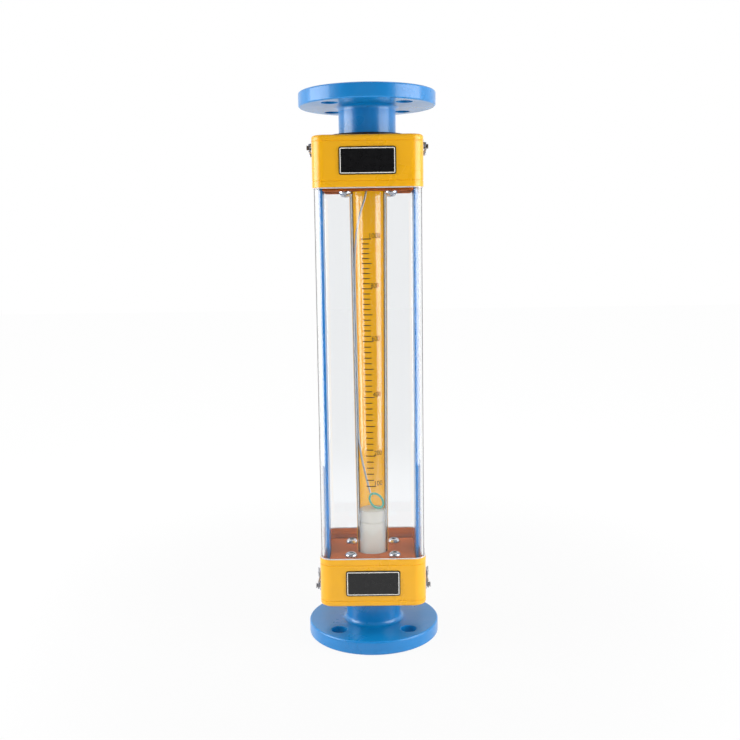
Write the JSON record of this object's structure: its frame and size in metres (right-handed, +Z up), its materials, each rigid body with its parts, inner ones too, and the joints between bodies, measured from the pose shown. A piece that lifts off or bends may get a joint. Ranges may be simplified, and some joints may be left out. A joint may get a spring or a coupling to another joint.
{
  "type": "glass tube rotameter",
  "caption": "Vertical flow meter with a tapered glass tube, float and printed scale, flanged ends, side bars and a latched clear cover between end caps.",
  "frame": {"origin": "centre of the lower flange's sealing face", "axes": "+Z up the tube, the scale faces -Y, +X to the right of someone reading it"},
  "size_m": [0.115, 0.115, 0.47],
  "materials": {
    "cast_blue": "gloss enamel on a cast fitting",
    "bar_blue": "gloss enamel on flat steel",
    "cap_yellow": "gloss enamel on pressed sheet",
    "window_clear": "clear polished acrylic",
    "tube_glass": "clear borosilicate glass with a yellow enamel strip and a printed scale",
    "ptfe_white": "waxy white PTFE",
    "packing_black": "soft black packing",
    "collar_black": "moulded black rubber",
    "gland_steel": "turned steel",
    "screw_steel": "zinc-plated steel",
    "latch_steel": "bright pressed steel",
    "wire_steel": "drawn wire",
    "loop_green": "soft translucent plastic",
    "laminate_brown": "cut phenolic laminate board",
    "plate_black": "satin black metal plate with a thin pale border"
  },
  "bodies": {
    "meter": {"lower_fitting": "cast_blue", "lower_liner": "ptfe_white", "lower_stop": "ptfe_white", "lower_packing": "packing_black", "lower_gland_ring": "gland_steel", "lower_gland_plate": "laminate_brown", "lower_gland_screws": "screw_steel", "lower_collar": "collar_black", "lower_front_cap": "cap_yellow", "lower_rear_cap": "cap_yellow", "lower_nameplate": "plate_black", "lower_left_base": "latch_steel", "lower_left_catch": "latch_steel", "lower_right_base": "latch_steel", "lower_right_catch": "latch_steel", "upper_fitting": "cast_blue", "upper_liner": "ptfe_white", "upper_stop": "ptfe_white", "upper_packing": "packing_black", "upper_gland_ring": "gland_steel", "upper_gland_plate": "laminate_brown", "upper_gland_screws": "screw_steel", "upper_collar": "collar_black", "upper_front_cap": "cap_yellow", "upper_rear_cap": "cap_yellow", "upper_nameplate": "plate_black", "upper_left_base": "latch_steel", "upper_left_catch": "latch_steel", "upper_right_base": "latch_steel", "upper_right_catch": "latch_steel", "glass_tube": "tube_glass", "retainer_wire": "wire_steel", "retainer_loop": "loop_green", "left_side_bar": "bar_blue", "right_side_bar": "bar_blue", "bar_screws": "screw_steel", "front_window": "window_clear", "rear_window": "window_clear", "latch_pins": "latch_steel", "latch_rivets": "latch_steel"},
    "float": {"float": "ptfe_white"},
    "lower_left_lever": {"lower_left_lever": "latch_steel"},
    "lower_left_bail": {"lower_left_bail": "latch_steel"},
    "lower_right_lever": {"lower_right_lever": "latch_steel"},
    "lower_right_bail": {"lower_right_bail": "latch_steel"},
    "upper_left_lever": {"upper_left_lever": "latch_steel"},
    "upper_left_bail": {"upper_left_bail": "latch_steel"},
    "upper_right_lever": {"upper_right_lever": "latch_steel"},
    "upper_right_bail": {"upper_right_bail": "latch_steel"}
  },
  "joints": [
    {"name": "float_slide", "type": "slide", "parent": "meter", "child": "float", "axis": [0, 0, 1], "range_m": [0, 0.292], "deforming": ["retainer_wire", "retainer_loop"]},
    {"name": "lower_left_lever_hinge", "type": "hinge", "parent": "meter", "child": "lower_left_lever", "pos_m": [-0.0481, 0.007, 0.046], "axis": [0, 0, 1], "range_deg": [0, 95]},
    {"name": "lower_left_bail_hinge", "type": "hinge", "parent": "lower_left_lever", "child": "lower_left_bail", "pos_m": [-0.0475, 0.011, 0.046], "axis": [0, 0, 1], "range_deg": [-82, 0]},
    {"name": "lower_right_lever_hinge", "type": "hinge", "parent": "meter", "child": "lower_right_lever", "pos_m": [0.0481, 0.007, 0.046], "axis": [0, 0, -1], "range_deg": [0, 95]},
    {"name": "lower_right_bail_hinge", "type": "hinge", "parent": "lower_right_lever", "child": "lower_right_bail", "pos_m": [0.0475, 0.011, 0.046], "axis": [0, 0, -1], "range_deg": [-82, 0]},
    {"name": "upper_left_lever_hinge", "type": "hinge", "parent": "meter", "child": "upper_left_lever", "pos_m": [-0.0481, 0.007, 0.424], "axis": [0, 0, 1], "range_deg": [0, 95]},
    {"name": "upper_left_bail_hinge", "type": "hinge", "parent": "upper_left_lever", "child": "upper_left_bail", "pos_m": [-0.0475, 0.011, 0.424], "axis": [0, 0, 1], "range_deg": [-82, 0]},
    {"name": "upper_right_lever_hinge", "type": "hinge", "parent": "meter", "child": "upper_right_lever", "pos_m": [0.0481, 0.007, 0.424], "axis": [0, 0, -1], "range_deg": [0, 95]},
    {"name": "upper_right_bail_hinge", "type": "hinge", "parent": "upper_right_lever", "child": "upper_right_bail", "pos_m": [0.0475, 0.011, 0.424], "axis": [0, 0, -1], "range_deg": [-82, 0]}
  ],
  "couplings": [
    {"joint": "lower_left_bail_hinge", "follows": "lower_left_lever_hinge", "ratio": -0.86},
    {"joint": "lower_right_bail_hinge", "follows": "lower_right_lever_hinge", "ratio": -0.86},
    {"joint": "upper_left_bail_hinge", "follows": "upper_left_lever_hinge", "ratio": -0.86},
    {"joint": "upper_right_bail_hinge", "follows": "upper_right_lever_hinge", "ratio": -0.86}
  ]
}
